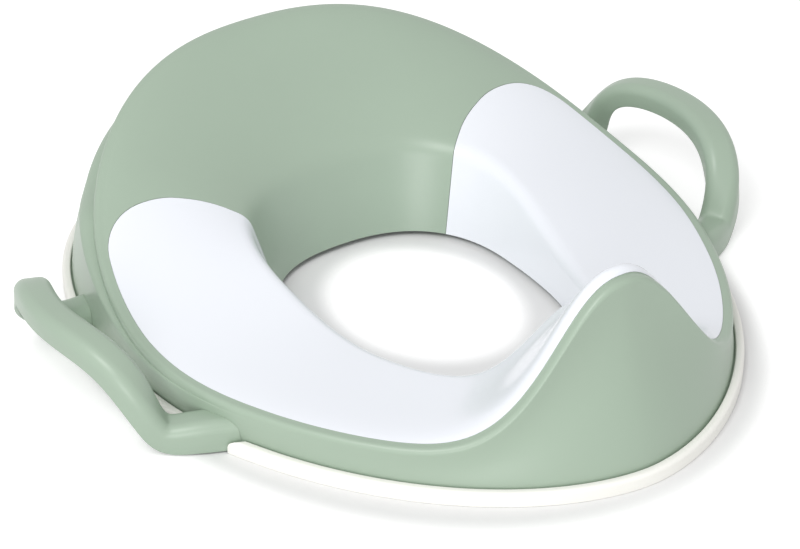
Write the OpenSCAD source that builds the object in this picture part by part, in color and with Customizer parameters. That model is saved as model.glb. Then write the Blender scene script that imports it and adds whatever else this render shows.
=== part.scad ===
// Training seat for a toilet: a ring-shaped moulded shell with a high back and a splash guard,
// a flush seat insert, two loop handles and a soft rim that keeps it from sliding.
// Millimetres, +Z up, the front of the seat towards -Y, origin under the middle of the base.

/* [Base] */
// Width over the soft rim
base_w = 300; // [270:1:360]
// Length over the soft rim
base_l = 370; // [330:1:444]
// Fullness of the base outline at the front, where 2 is an ellipse
base_front_full = 1.8; // [1.75:0.05:2.2]
// Fullness of the base outline at the rear
base_rear_full = 2.3; // [2:0.05:2.8]
// Height of the flange's underside above the floor
flange_z = 2.4; // [2:0.1:3.2]
// Thickness of the flange
flange_t = 2.4; // [2:0.1:3]
// Step from the edge of the base to the foot of the wall
wall_step = 5; // [5:0.1:7]
// Thickness of the shell's walls
wall_t = 2.6; // [2:0.1:3.2]

/* [Seat] */
// Width of the seat between the crests of its sides
seat_w = 287; // [262:1:344]
// Reach of the seat's edge to the front, before the splash guard leans back
seat_front = 177; // [160:1:212]
// Reach of the seat's edge to the rear
seat_rear = 138; // [120:1:165]
// Fullness of the seat's outline at the front
seat_front_full = 1.7; // [1.7:0.05:2]
// Fullness of the seat's outline at the rear
seat_rear_full = 2.1; // [1.9:0.05:2.5]
// Height of the seat's edge at the sides
side_h = 22; // [20:0.5:28]
// How far the seat crowns above its edge
crown = 1.8; // [0:0.1:3]
// How far the seat swells above a straight line to the opening at the rear
swell = 4; // [0:0.5:6]
// Width of the rolled lip outside the seat's edge
lip_w = 4.5; // [4:0.5:7]
// Radius of the lip's outer edge
lip_r = 2.6; // [2:0.1:3.5]
// Depth of the lip's outer face at the back
lip_h = 7; // [6:0.5:9]

/* [Back] */
// Rise of the back above the sides
back_rise = 74; // [50:1:95]
// Angle over which the back falls to the sides
back_spread = 66; // [55:1:78]
// Fullness of the back's top
back_full = 2.8; // [2:0.1:3.4]
// How far the wall stands out under the lip at the back
shoulder_w = 8; // [2:0.5:9]
// Height of that shoulder's rounding
shoulder_h = 5; // [3:0.5:6]

/* [Splash guard] */
// Rise of the splash guard above the sides
guard_rise = 69; // [45:1:85]
// Angle over which the guard falls to the sides
guard_spread = 17; // [14:0.5:21]
// Fullness of the guard's top
guard_full = 2.2; // [1.8:0.1:3]
// How far the guard's crest leans back
guard_lean = 21; // [10:1:28]
// How far the guard's inner face dishes at its foot
guard_dish = 2.5; // [1:0.5:4]

/* [Opening] */
// Width of the opening at its lower edge
opening_w = 118; // [98:1:140]
// Reach of the opening to the front
opening_front = 92; // [78:1:106]
// Reach of the opening to the rear
opening_rear = 60; // [50:1:70]
// Fullness of the opening's outline
opening_full = 2.4; // [2:0.05:2.8]
// How far the knee between the seat and the opening's wall lies outside the lower edge
opening_flare = 9; // [7:0.5:12]
// Height of the knee at the front
opening_h = 20.5; // [18:0.5:25]
// Rise of the knee from the front to the rear
knee_rise = 24; // [12:0.5:28]
// Length of the knee's rounding on the seat and on the wall
knee_round = 6; // [5:0.5:8]
// Height of the opening's lower edge above the floor
skirt_z = 3; // [2.4:0.1:5]

/* [Insert] */
// Thickness of the seat insert
insert_t = 2.4; // [1.8:0.1:3]
// Gap between the insert and its recess
insert_gap = 0.3; // [0.2:0.05:0.5]
// How far the insert's edge lies inside the crest of the lip
insert_inset = 0.5; // [0.3:0.1:2]
// Angle from the front to the insert's rear edges
insert_angle = 126; // [118:1:134]
// How far those edges bulge to the rear, as an angle
insert_bulge = 2; // [0:1:8]
// Radius of the insert's rear corners
insert_corner_r = 34; // [12:1:48]
// Diameter of the staked pegs under the insert
peg_d = 5; // [4:0.5:6]
// Diameter of the staked heads
peg_head_d = 8.5; // [7.5:0.5:10]

/* [Handles] */
// How far the grip's centre stands out from the base
handle_reach = 30; // [24:1:38]
// Height of the grip's centre
handle_rise = 44; // [36:1:52]
// Distance of the rear foot behind the middle
handle_rear = 68.5; // [60:0.5:78]
// Distance of the front foot's screw ahead of the middle
handle_front = 43; // [37:0.5:52]
// How far the front foot slants forward on its way to the wall
foot_slant = 6.5; // [0:0.5:8]
// Width of the handle's channel
handle_w = 17; // [14:0.5:21]
// Depth of the handle's channel at the grip
handle_h = 12; // [11:0.5:15]
// Height of the feet
handle_foot_h = 15; // [13:0.5:16]
// Radius along the channel's top edges
handle_r = 5.5; // [4:0.5:6.5]
// Wall of the channel
handle_wall = 2.6; // [2:0.1:3]
// Height of the channel's edges above the floor at the feet
handle_floor = 0.7; // [0.5:0.1:1.5]
// Gap between a handle and the shell
handle_gap = 0.4; // [0.3:0.05:0.6]
// Gap between the channel's walls and the flange's lugs
lug_gap = 1.8; // [1.2:0.1:2.2]

/* [Screws] */
// Shank diameter of the handle screws
screw_d = 3; // [2.5:0.5:3.5]
// Head diameter
screw_head_d = 5.6; // [5:0.1:6.4]
// Height of the head
screw_head_h = 1.7; // [1.2:0.1:2]
// Length under the head
screw_len = 9; // [8:0.5:11]
// Distance of the screws outside the edge of the base
screw_out = 2.5; // [1.5:0.5:5]
// Gap round the shank
screw_gap = 0.15; // [0.1:0.05:0.3]

/* [Soft rim] */
// Height of the soft rim
rim_h = 7.2; // [6.8:0.1:9]
// Thickness of the rim outside the flange
rim_t = 2.3; // [1.8:0.1:2.5]
// How far the rim's upper lip reaches over the flange
rim_lip = 1.7; // [1.2:0.1:1.8]
// Gap between the rim and the flange
rim_gap = 0.2; // [0.1:0.05:0.3]
// Gap between the rim's ends and the handle feet
rim_end_gap = 0.6; // [0.4:0.1:1.5]

/* [Hidden] */

sage = "#A3B8A3";
white = "#EEF2F8";
warm_white = "#F6F5F0";
steel = "#B9BBBD";

$fn = 24;
// Counts of facets
stations = 46;
front_crowding = 7.6;
bowl_steps = 7;
handle_steps = 24;
peg_sides = 8;
lug_sides = 16;
rib_sides = 8;
rim_end_steps = 2;

// Flange, wall and lip
flange_top = flange_z + flange_t;
flange_edge = rim_t + rim_gap;
foot_fillet = wall_step - flange_edge - rim_lip - rim_gap;
lip_flat = lip_w - lip_r;
lip_under = 0.6;
crease_in = 0.3;
lip_step = 0.8;
shoulder_share = 0.7;
side_foot_pull = [0.25, 0.35];
side_top_pull = [0, 0.5];
back_foot_pull = [0.02, 0.4];
back_top_pull = [0.45, 0.25];

// Seat, knee and splash guard
knee_from = 45;
knee_to = 130;
knee_spread = 0.2;
crown_w = 8;
seat_shares = [0.65, 0.42, 0.2];
guard_crest_w = 6;
guard_face_shares = [0.1, 0.45];
guard_foot_shares = [0.45, 0.02];
guard_foot = [10, 0.5];
recess_past = 16;
recess_fade = 12;
over_seat = 4;

// Ribs, lugs, pegs and screws
rib_angles = [42, 95, 140, 164];
rib_t = 1.8;
rib_z = flange_top + 3;
rib_sink = 0.6;
lug_w = handle_w - 2 * (handle_wall + lug_gap);
boss_d = lug_w - 1;
peg_angles = [for (share = [0.23, 0.43, 0.64, 0.82]) share * insert_angle];
peg_step = 4;
peg_head_h = 1.8;
screw_chamfer = 0.6;
screw_tip = 1.5;
screw_x = base_w / 2 + screw_out;
screw_z = flange_z - screw_head_h;
pilot_depth = 1;

// Handle feet and rim
foot_sink = 12;
foot_arc = 12;
foot_arc_step = 4;
foot_cut = 30;
rim_edge = 0.6;
rim_round = 1.8;
rim_under = wall_step + 1;
far_out = 400;
below = 1;

// Curves

function soft_step(t) = let (c = min(max(t, 0), 1)) c * c * (3 - 2 * c);

// Bezier curve of any degree, by repeated interpolation
function bezier(p, t) =
    len(p) == 1 ? p[0] : bezier([for (i = [0 : len(p) - 2]) p[i] * (1 - t) + p[i + 1] * t], t);

// Uniform cubic spline that starts and ends on the first and last control points
function spline(c, t) =
    let (
        n = len(c),
        e = concat([2 * c[0] - c[1]], c, [2 * c[n - 1] - c[n - 2]]),
        i = min(floor(t), n - 2),
        f = t - i
    )
    (pow(1 - f, 3) * e[i] + (3 * f * f * f - 6 * f * f + 4) * e[i + 1]
        + (-3 * f * f * f + 3 * f * f + 3 * f + 1) * e[i + 2] + f * f * f * e[i + 3]) / 6;

// Polar radius of an oval, u degrees from the front, whose fullness changes from front to rear
function oval(u, half_w, front, rear, full_front, full_rear) =
    let (
        n = full_front + (full_rear - full_front) * soft_step((u - 60) / 60),
        reach = u < 90 ? front : rear
    )
    pow(pow(abs(sin(u)) / half_w, n) + pow(abs(cos(u)) / reach, n), -1 / n);

function unit(v) = v / norm(v);
function blend(a, b, share) = a * (1 - share) + b * share;
function scaled(v, shares) = [v[0] * shares[0], v[1] * shares[1]];

// Point at a polar angle from the front, p = [radius, height]
function at(phi, p) = [p[0] * sin(phi), -p[0] * cos(phi), p[1]];

// Rails of the shell, u degrees from the front

function guard(u) = exp(-pow(u / guard_spread, guard_full));
function back(u) = exp(-pow((180 - u) / back_spread, back_full));
function base_r(u) = oval(u, base_w / 2, base_l / 2, base_l / 2, base_front_full, base_rear_full);
function crest_r(u) =
    oval(u, seat_w / 2, seat_front, seat_rear, seat_front_full, seat_rear_full) - guard_lean * guard(u);
function crest_z(u) = side_h + back_rise * back(u) + guard_rise * guard(u);
function open_r(u) = oval(u, opening_w / 2, opening_front, opening_rear, opening_full, opening_full);
function knee_z(u) = opening_h + knee_rise * soft_step((u - knee_from) / (knee_to - knee_from));
function knee_r(u) = open_r(u) + opening_flare + knee_spread * (knee_z(u) - opening_h);
function insert_share(u) = soft_step((insert_angle + recess_past - u) / recess_fade);
function seat_t(u) = wall_t + (insert_t + insert_gap) * insert_share(u);

// Section of the shell at u, as [radius, height] points

// Outer wall: flange, fillet, wall, shoulder and lip, up to the flat of the lip. At the sides the wall
// runs smoothly into the lip; towards the back it stands out under it as a shoulder with a crease.
function wall_line(u) =
    let (
        edge = base_r(u) - flange_edge,
        face_r = crest_r(u) + lip_w,
        crease_z = crest_z(u) - blend(lip_r + lip_step, lip_h, back(u)),
        shoulder_r = face_r + shoulder_w * back(u),
        foot = [base_r(u) - wall_step, flange_top + foot_fillet],
        top = [shoulder_r, max(crease_z - blend(lip_step, shoulder_h, back(u)), foot[1] + 1)],
        run = top - foot,
        wall = [
            foot,
            foot + scaled(run, blend(side_foot_pull, back_foot_pull, back(u))),
            top - scaled(run, blend(side_top_pull, back_top_pull, back(u))),
            top
        ],
        round_mid = [face_r, crest_z(u) - lip_r]
    )
    concat(
        [[edge, flange_z], [edge, flange_top]],
        [for (a = [0 : 45 : 45]) foot + foot_fillet * [1 - sin(a), -cos(a)]],
        [for (i = [0 : 3]) bezier(wall, i / 3)],
        [[face_r + (shoulder_r - face_r) * shoulder_share, top[1] + (crease_z - top[1]) * shoulder_share],
         [face_r - crease_in * back(u), crease_z]],
        [for (a = [0 : 45 : 90]) round_mid + [lip_r * (cos(a) - 1), lip_r * sin(a)]]
    );

// Seat: from its edge over a soft crown, or down the hollow of the splash guard, to the rounded knee
// and down the opening's wall
function seat_line(u) =
    let (
        crest = [crest_r(u), crest_z(u)],
        knee = [knee_r(u), knee_z(u)],
        skirt = [open_r(u), skirt_z],
        run = crest - knee,
        lift = [0, swell * sqrt(back(u))],
        hollow = sqrt(guard(u)),
        crowned = [
            crest + [-crown_w, crown * insert_share(u)],
            knee + run * seat_shares[0] + lift,
            knee + run * seat_shares[1] + lift,
            knee + run * seat_shares[2] + lift / 2
        ],
        hollowed = [
            crest - [guard_crest_w, 0],
            crest - [guard_crest_w, 0] - scaled(run, guard_face_shares),
            knee + scaled(run, guard_foot_shares) - [0, guard_dish],
            knee + guard_foot
        ],
        middle = crowned * (1 - hollow) + hollowed * hollow,
        seat_end = knee + knee_round * unit(middle[3] - knee),
        wall_top = knee + knee_round * unit(skirt - knee),
        bowl = concat([crest], middle, [seat_end])
    )
    concat(
        [for (i = [0 : bowl_steps]) bezier(bowl, i / bowl_steps)],
        [for (t = [1 / 3, 2 / 3, 1]) bezier([seat_end, knee, wall_top], t)],
        [skirt]
    );

// A line moved along its normals, to the open side where h is positive
function moved(line, h) = [
    for (i = [0 : len(line) - 1])
        let (d = line[min(i + 1, len(line) - 1)] - line[max(i - 1, 0)])
        line[i] + h * [d[1], -d[0]] / norm(d)
];

// Underside of the shell, from the opening's lower edge back to the flange
function under_line(u) =
    let (
        under_seat = moved(seat_line(u), -seat_t(u)),
        wall = wall_line(u),
        n = len(under_seat)
    )
    concat(
        [[open_r(u) + seat_t(u), skirt_z]],
        [for (i = [n - 2 : -1 : 1]) under_seat[i]],
        [[crest_r(u) + lip_w - wall_t, crest_z(u) - seat_t(u) - lip_under]],
        [for (i = [9, 7, 6, 5, 4]) wall[i] - wall_t * [1, i == 9 ? 0.5 : 0]],
        [[base_r(u) - wall_step - wall_t, flange_z]]
    );

function reversed(line) = [for (i = [len(line) - 1 : -1 : 0]) line[i]];

// Radius of the outer wall at a height
function wall_r(u, z) = lookup(z, [for (p = wall_line(u)) [p[1], p[0]]]);

// Polar angle of a station, with more of them near the splash guard
function station_angle(i) =
    let (a = 360 * i / stations) a - front_crowding * (2 * sin(a) + sin(2 * a));
function folded(phi) = let (a = abs(phi) % 360) a > 180 ? 360 - a : a;

// Solids

// Closed ring of sections, each a closed loop of points
module ring_solid(sections) {
    n = len(sections);
    m = len(sections[0]);
    function id(i, j) = (i % n) * m + j % m;
    polyhedron(
        [for (s = sections) each s],
        [for (i = [0 : n - 1], j = [0 : m - 1], k = [0, 1])
            k == 0 ? [id(i, j), id(i, j + 1), id(i + 1, j + 1)]
                   : [id(i, j), id(i + 1, j + 1), id(i + 1, j)]]
    );
}

// Solid between two lines that run side by side, one pair of them at each section, with flat ends
module strip_solid(outer, inner) {
    n = len(outer);
    k = len(outer[0]);
    m = 2 * k;
    function id(i, j) = i * m + j % m;
    polyhedron(
        [for (i = [0 : n - 1]) each concat(outer[i], reversed(inner[i]))],
        concat(
            [for (i = [0 : n - 2], j = [0 : m - 1], h = [0, 1])
                h == 0 ? [id(i, j), id(i, j + 1), id(i + 1, j + 1)]
                       : [id(i, j), id(i + 1, j + 1), id(i + 1, j)]],
            [for (j = [0 : k - 2], h = [0, 1])
                h == 0 ? [j, m - 1 - j, m - 2 - j] : [j, m - 2 - j, j + 1]],
            [for (j = [0 : k - 2], h = [0, 1])
                h == 0 ? [id(n - 1, j), id(n - 1, m - 2 - j), id(n - 1, m - 1 - j)]
                       : [id(n - 1, j), id(n - 1, j + 1), id(n - 1, m - 2 - j)]]
        )
    );
}

module ring_of(line_sets) {
    ring_solid([
        for (i = [0 : stations - 1])
            let (phi = station_angle(i)) [for (p = line_sets[i]) at(phi, p)]
    ]);
}

module shell_body() {
    ring_of([
        for (i = [0 : stations - 1])
            let (u = folded(station_angle(i))) concat(wall_line(u), seat_line(u), under_line(u))
    ]);
}

// Space inside the shell that the ribs fill, sunk a little into its walls
module shell_inside() {
    ring_of([
        for (i = [0 : stations - 1])
            let (
                u = folded(station_angle(i)),
                line = under_line(u),
                n = len(line)
            )
            reversed(concat(
                [[line[0][0] - rib_sink, rib_z]],
                moved([for (j = [1 : n - 2]) line[j]], -rib_sink),
                [[wall_r(u, rib_z) - wall_t + rib_sink, rib_z]]
            ))
    ]);
}

// Layer over the seat and the opening's wall, between two distances from the surface
module seat_layer(top, bottom) {
    ring_of([
        for (i = [0 : stations - 1])
            let (
                u = folded(station_angle(i)),
                seat = seat_line(u),
                line = concat([seat[0] + [lip_flat, 0]], seat, [[open_r(u), -below]])
            )
            concat(moved(line, top), reversed(moved(line, -bottom)))
    ]);
}

// Rear edge of the insert on one side, bulging to the rear between the opening and the lip
function rear_edge(side) =
    let (from = open_r(insert_angle), to = crest_r(insert_angle))
    [for (k = [0 : 8])
        let (share = k / 8)
        at(side * (insert_angle + insert_bulge * sin(180 * share)), [from + (to - from) * share, 0])];

// Plan of the insert with its rounded rear corners, drawn in by a gap
module insert_plan(gap) {
    outside = [
        for (i = [0 : stations - 1])
            let (a = station_angle(i)) at(a, [crest_r(folded(a)) - insert_inset, 0])
    ];
    behind = concat(
        [[0, 0]],
        rear_edge(1),
        [for (a = [insert_angle, 180, 360 - insert_angle]) at(a, [far_out, 0])],
        reversed(rear_edge(-1))
    );
    offset(delta = -gap)
        offset(r = insert_corner_r)
            offset(delta = -insert_corner_r)
                difference() {
                    polygon([for (p = outside) [p[0], p[1]]]);
                    polygon([for (p = behind) [p[0], p[1]]]);
                }
}

module insert_prism(gap, floor_z) {
    translate([0, 0, floor_z])
        linear_extrude(height = side_h + back_rise + guard_rise)
            insert_plan(gap);
}

// Point of the seat over a peg, and the steepest slope there
function seat_point(u) = let (line = seat_line(u)) line[peg_step];
function seat_slope(u) =
    let (
        line = seat_line(u),
        run = line[peg_step + 1] - line[peg_step - 1],
        side = seat_point(u + 1) - seat_point(u - 1),
        arc = 2 * seat_point(u)[0] * sin(1)
    )
    norm([run[1] / run[0], side[1] / arc]);

// Depth of a staked head, clear of the sloping shell above it
function peg_depth(u) =
    let (slope = seat_slope(u))
    seat_t(u) * sqrt(1 + slope * slope) + peg_head_d / 2 * slope + insert_gap;

module at_peg(side, u) {
    translate(at(side * u, seat_point(u)))
        children();
}

// Feet of the handles, as [side, y at the screw, y at the wall]
wall_end = base_w / 2 - foot_sink;
feet = [
    for (side = [-1, 1])
        each [[side, handle_rear, handle_rear], [side, -handle_front, -handle_front - foot_slant]]
];

module seat_shell() {
    color(sage)
        difference() {
            union() {
                shell_body();
                intersection() {
                    shell_inside();
                    ribs();
                }
                for (f = feet)
                    handle_lug(f);
            }
            intersection() {
                seat_layer(over_seat, insert_t + insert_gap);
                insert_prism(0, -below);
            }
            for (side = [-1, 1], u = peg_angles)
                at_peg(side, u)
                    translate([0, 0, -peg_depth(u) - peg_head_h])
                        cylinder(d = peg_d + 2 * insert_gap, h = peg_depth(u) + peg_head_h, $fn = peg_sides);
            for (f = feet)
                translate([f[0] * screw_x, f[1], 0])
                    cylinder(d = screw_d + 2 * screw_gap, h = flange_top + below);
        }
}

// Radial stiffening ribs under the seat, the back and the splash guard
module ribs() {
    for (a = rib_angles, side = [-1, 1])
        rotate(side * a)
            hull()
                for (r = [0, far_out])
                    translate([0, -r, rib_z - below])
                        cylinder(d = rib_t, h = side_h + back_rise + guard_rise, $fn = rib_sides);
}

// Lug of the flange inside a handle's foot
module handle_lug(foot) {
    hull()
        for (p = [[screw_x, foot[1]], [wall_end, foot[2]]])
            translate([foot[0] * p[0], p[1], flange_z])
                cylinder(d = lug_w, h = flange_t, $fn = lug_sides);
}

module seat_insert() {
    color(white)
        union() {
            intersection() {
                seat_layer(0, insert_t);
                insert_prism(insert_gap, skirt_z);
            }
            for (side = [-1, 1], u = peg_angles)
                at_peg(side, u)
                    staked_peg(u);
        }
}

// Peg from the insert through the shell, with its staked head below
module staked_peg(u) {
    depth = peg_depth(u);
    translate([0, 0, -depth - peg_head_h / 2])
        cylinder(d = peg_d, h = depth + peg_head_h / 2 - insert_t / 2, $fn = peg_sides);
    hull() {
        translate([0, 0, -depth - peg_head_h / 2])
            cylinder(d = peg_head_d, h = peg_head_h / 2, $fn = peg_sides);
        translate([0, 0, -depth - peg_head_h])
            cylinder(d = peg_head_d / 2, h = peg_head_h, $fn = peg_sides);
    }
}

// Handles: an arched channel, open below, swept from foot to foot on the right-hand side

foot_z = handle_floor + handle_foot_h / 2;
foot_slope = foot_slant / (screw_x - wall_end);
handle_path = let (x = base_w / 2) [
    [wall_end - foot_sink, handle_rear, foot_z],
    [wall_end, handle_rear, foot_z],
    [x + handle_reach * 0.16, handle_rear, foot_z],
    [x + handle_reach * 0.57, handle_rear - 2, handle_rise * 0.5],
    [x + handle_reach * 0.72, handle_rear - 12, handle_rise * 1.03],
    [x + handle_reach * 1.15, handle_rear - 45, handle_rise * 1.02],
    [x + handle_reach * 0.88, 27 - handle_front, handle_rise * 1.05],
    [x + handle_reach * 0.62, 9 - handle_front, handle_rise * 0.66],
    [x + handle_reach * 0.4, 7.5 - handle_front, handle_rise * 0.12],
    [x + 1, -handle_front - 1, foot_z],
    [wall_end, -handle_front - foot_slant, foot_z],
    [wall_end - foot_sink, -handle_front - foot_slant - foot_sink * foot_slope, foot_z]
];
handle_spans = len(handle_path) - 1;

// One leg of the channel's outline, [across, up] from its middle, for a wall set in by t
function channel_line(w, h, r, t) =
    let (half = w / 2 - t, top = h / 2 - t, rr = max(r - t, 0.8))
    concat(
        [[-half, -h / 2]],
        [for (a = [180 : -30 : 90]) [-half + rr, top - rr] + rr * [cos(a), sin(a)]],
        [for (a = [90 : -30 : 0]) [half - rr, top - rr] + rr * [cos(a), sin(a)]],
        [[half, -h / 2]]
    );

// Points of the channel at one step, kept off the floor
function channel_points(step, t) =
    let (
        s = step * handle_spans / handle_steps,
        c = spline(handle_path, s),
        ahead = spline(handle_path, min(s + 0.02, handle_spans)),
        behind = spline(handle_path, max(s - 0.02, 0)),
        along = unit(ahead - behind),
        across = unit(cross([0, 0, 1], along)),
        up = cross(along, across),
        grip = soft_step((min(s, handle_spans - s) - 1) / 3),
        h = handle_foot_h + (handle_h - handle_foot_h) * grip
    )
    [for (q = channel_line(handle_w, h, handle_r, t))
        let (p = c + q[0] * across + q[1] * up) [p[0], p[1], max(p[2], handle_floor)]];

// Space of the flange and the wall beside a foot, with the gap around it
module foot_space(y) {
    middle = atan2(base_w / 2, -y);
    angles = [for (a = [-foot_arc : foot_arc_step : foot_arc]) middle + a];
    function face(u) =
        let (line = moved(wall_line(u), handle_gap))
        concat([[line[0][0], -below]], [for (j = [1 : 10]) line[j]]);
    strip_solid(
        [for (a = angles) [for (p = face(a)) at(a, p)]],
        [for (a = angles) [for (p = face(a)) at(a, p - [foot_cut, 0])]]
    );
}

module handle() {
    difference() {
        union() {
            strip_solid(
                [for (i = [0 : handle_steps]) channel_points(i, 0)],
                [for (i = [0 : handle_steps]) channel_points(i, handle_wall)]
            );
            for (y = [handle_rear, -handle_front])
                translate([screw_x, y, flange_top + handle_gap])
                    cylinder(d = boss_d, h = handle_foot_h - flange_top - handle_wall / 2);
        }
        foot_space(handle_rear);
        foot_space(-handle_front - foot_slant);
        for (y = [handle_rear, -handle_front])
            translate([screw_x, y, flange_top])
                cylinder(d = screw_d + 2 * screw_gap, h = screw_len - flange_t + pilot_depth);
    }
}

module right_handle() {
    color(sage)
        handle();
}

module left_handle() {
    color(sage)
        mirror([1, 0, 0])
            handle();
}

module handle_screws() {
    color(steel)
        for (f = feet)
            translate([f[0] * screw_x, f[1], screw_z])
                rotate_extrude()
                    polygon([[0, 0], [screw_head_d / 2 - screw_chamfer, 0], [screw_head_d / 2, screw_chamfer],
                             [screw_head_d / 2, screw_head_h], [screw_d / 2, screw_head_h],
                             [screw_d / 2, screw_head_h + screw_len - screw_tip],
                             [screw_d / 6, screw_head_h + screw_len], [0, screw_head_h + screw_len]]);
}

// Soft rim: a channel that grips the flange's edge, in four lengths between the handle feet

// Outline of the rim's section, as [distance inside the edge of the base, height]
rim_outer = [
    [rim_under, 0], [rim_edge, 0], [0, rim_edge],
    for (a = [0 : 45 : 90]) [rim_round, rim_h - rim_round] + rim_round * [-cos(a), sin(a)],
    [flange_edge + rim_lip - rim_edge, rim_h], [flange_edge + rim_lip, rim_h - rim_edge]
];
rim_inner = let (top = flange_top + rim_gap, low = flange_z - rim_gap) [
    [rim_under, low], [(rim_under + rim_t) / 2, low], [rim_t, low], [rim_t, flange_z], [rim_t, flange_top],
    [rim_t, top], [rim_t + rim_lip / 2, top], [flange_edge + rim_lip, top]
];

// Edge of a foot's side in plan with the gap beside it, as [y on the middle plane, slope]
function foot_edge(foot, side) =
    let (
        slope = (foot[1] - foot[2]) / (screw_x - wall_end),
        aside = (handle_w / 2 + rim_end_gap) * sqrt(1 + slope * slope)
    )
    [foot[1] - slope * screw_x + side * aside, slope];

// Polar angle at which a line inside the edge of the base meets such an edge, by repeated steps
function edge_angle(inside, edge, phi = 90, steps = 8) =
    steps == 0 ? phi :
    let (x = (base_r(phi) - inside) * sin(phi))
    edge_angle(inside, edge, atan2(x, -edge[0] - edge[1] * x), steps - 1);

// Section of the rim at a share of the way from a station to an end, where each line has its own angle
function rim_points(line, phi, edge = [0, 0], side = 1, share = 0) = [
    for (q = line)
        let (a = phi + (share == 0 ? 0 : share * (side * edge_angle(q[0], edge) - phi)))
        at(a, [base_r(folded(a)) - q[0], q[1]])
];

// Angles of the shell's stations that lie between two ends
function between(from, to) = [
    for (i = [-stations : stations])
        let (a = station_angle(i)) if (a > from + 1 && a < to - 1) a
];

// Largest or smallest angle of a rim's end
function end_limit(edge, side) =
    let (both = [for (inside = [0, rim_under]) edge_angle(inside, edge)]) side > 0 ? max(both) : min(both);

// Length of the rim between two ends, each as [edge, side, angle of the last station's limit]
module rim_length(first, last) {
    angles = between(first[2], last[2]);
    shares = [for (k = [1 : rim_end_steps]) k / rim_end_steps];
    turn = last[2] > 180 ? 360 : 0;
    function sections(line) = concat(
        [for (share = reversed(shares)) rim_points(line, angles[0], first[0], first[1], share)],
        [for (a = angles) rim_points(line, a)],
        [for (share = shares) rim_points(line, angles[len(angles) - 1] - turn, last[0], last[1], share)]
    );
    color(warm_white)
        strip_solid(sections(rim_outer), sections(rim_inner));
}

rear_foot = feet[2];
front_foot = feet[3];

module front_rim() {
    edge = foot_edge(front_foot, -1);
    limit = end_limit(edge, -1);
    rim_length([edge, -1, -limit], [edge, 1, limit]);
}

module rear_rim() {
    edge = foot_edge(rear_foot, 1);
    limit = end_limit(edge, 1);
    rim_length([edge, 1, limit], [edge, -1, 360 - limit]);
}

// The length beside a handle, between its two feet
module side_rim() {
    front = foot_edge(front_foot, 1);
    rear = foot_edge(rear_foot, -1);
    rim_length([front, 1, end_limit(front, 1)], [rear, 1, end_limit(rear, -1)]);
}

module right_rim() {
    side_rim();
}

module left_rim() {
    mirror([1, 0, 0])
        side_rim();
}

seat_shell();
seat_insert();
left_handle();
right_handle();
front_rim();
rear_rim();
left_rim();
right_rim();
handle_screws();
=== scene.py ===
import math
import bmesh
import bpy
import numpy as np
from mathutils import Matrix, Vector


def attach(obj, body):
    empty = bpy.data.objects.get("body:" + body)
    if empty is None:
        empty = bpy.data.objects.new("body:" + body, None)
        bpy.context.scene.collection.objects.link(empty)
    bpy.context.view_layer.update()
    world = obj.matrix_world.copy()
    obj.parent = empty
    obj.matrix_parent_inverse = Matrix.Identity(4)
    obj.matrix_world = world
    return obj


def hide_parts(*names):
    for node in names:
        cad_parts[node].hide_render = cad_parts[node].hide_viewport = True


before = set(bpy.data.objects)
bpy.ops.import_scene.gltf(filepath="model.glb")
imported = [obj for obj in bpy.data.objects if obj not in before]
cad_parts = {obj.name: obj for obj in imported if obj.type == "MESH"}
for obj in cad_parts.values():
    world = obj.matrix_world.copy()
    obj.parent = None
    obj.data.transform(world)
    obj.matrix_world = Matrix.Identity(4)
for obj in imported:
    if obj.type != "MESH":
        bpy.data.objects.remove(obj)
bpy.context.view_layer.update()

# Lengths are in millimetres and angles in degrees until a mesh is made.
# Sections are [radius, height] at an angle u from the front, 0 to 180 on either side.
mm = 0.001  # in metres
perMetre = 1000

baseForm = dict(width=300, length=370, fullFront=1.8, fullRear=2.3, flangeZ=2.4, flangeTop=4.8,
                flangeEdge=2.5, flangeRound=0.3, wallStep=5, wallThick=2.6, footFillet=0.6)
lipForm = dict(width=4.5, radius=2.6, depth=7.0, least=0.8, flatAt=0.6, apexDrop=0.6,
               creaseIn=0.35, creaseTurn=((0.3, 0.08), (0, 0.27)), shoulderWide=14.5, shoulderHigh=6.0,
               dip=12, dipFrom=119.5, dipOver=15.5)
seatForm = dict(width=287, front=177, rear=136.6, fullFront=1.7, fullRear=2.1, sideHigh=22,
                crown=1.8, crownWide=8, swell=4, crownPoints=((0.65, 1), (0.42, 1), (0.2, 0.5)),
                seatRows=80, kneeRows=17, skirtRows=9)
backForm = dict(rise=74, spread=66, full=2.8)
guardForm = dict(rise=69, spread=17, full=2.2, lean=21, dish=1.5, hollow=0.3, roll=36, rollIn=6,
                 upper=(0.1, 0.45), lower=(0.45, 0.02), foot=(10, 0.5))
openingForm = dict(width=118, front=102, rear=60, full=2.4, flare=5.5, kneeHigh=22.2, kneeRise=22.3,
                   kneeFrom=45, kneeTo=130, kneeSpread=0.357, kneeRound=6, skirtZ=3,
                   frontRise=40.3, frontSpread=11.5, frontFull=2.0)
insertForm = dict(thick=2.4, gap=0.3, inset=0.5, slit=0.12, edgeRound=0.3, roundSteps=3, sharp=50,
                  angle=124.3, turn=3.8, turnFrom=15, turnOver=45, fadeAt=142, fadeOver=12,
                  cornerRadius=34, outerRadius=144, innerRadius=62, length=115,
                  columns=300, rows=50, cornerRows=17)
ovalBlend = dict(start=60, over=60)  # where an oval's front fullness passes into its rear one


def softStep(t):  # cubic from 0 to 1, level at both ends
    c = np.clip(t, 0, 1)
    return c * c * (3 - 2 * c)


# Polar radius of an oval: the inverse nth root of (|sin u| / half width)^n + (|cos u| / reach)^n
def ovalRadius(u, halfWidth, front, rear, fullFront, fullRear):
    n = fullFront + (fullRear - fullFront) * softStep((u - ovalBlend["start"]) / ovalBlend["over"])
    a = np.radians(u)
    reach = np.where(u < 90, front, rear)
    return ((np.abs(np.sin(a)) / halfWidth) ** n + (np.abs(np.cos(a)) / reach) ** n) ** (-1 / n)


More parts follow.
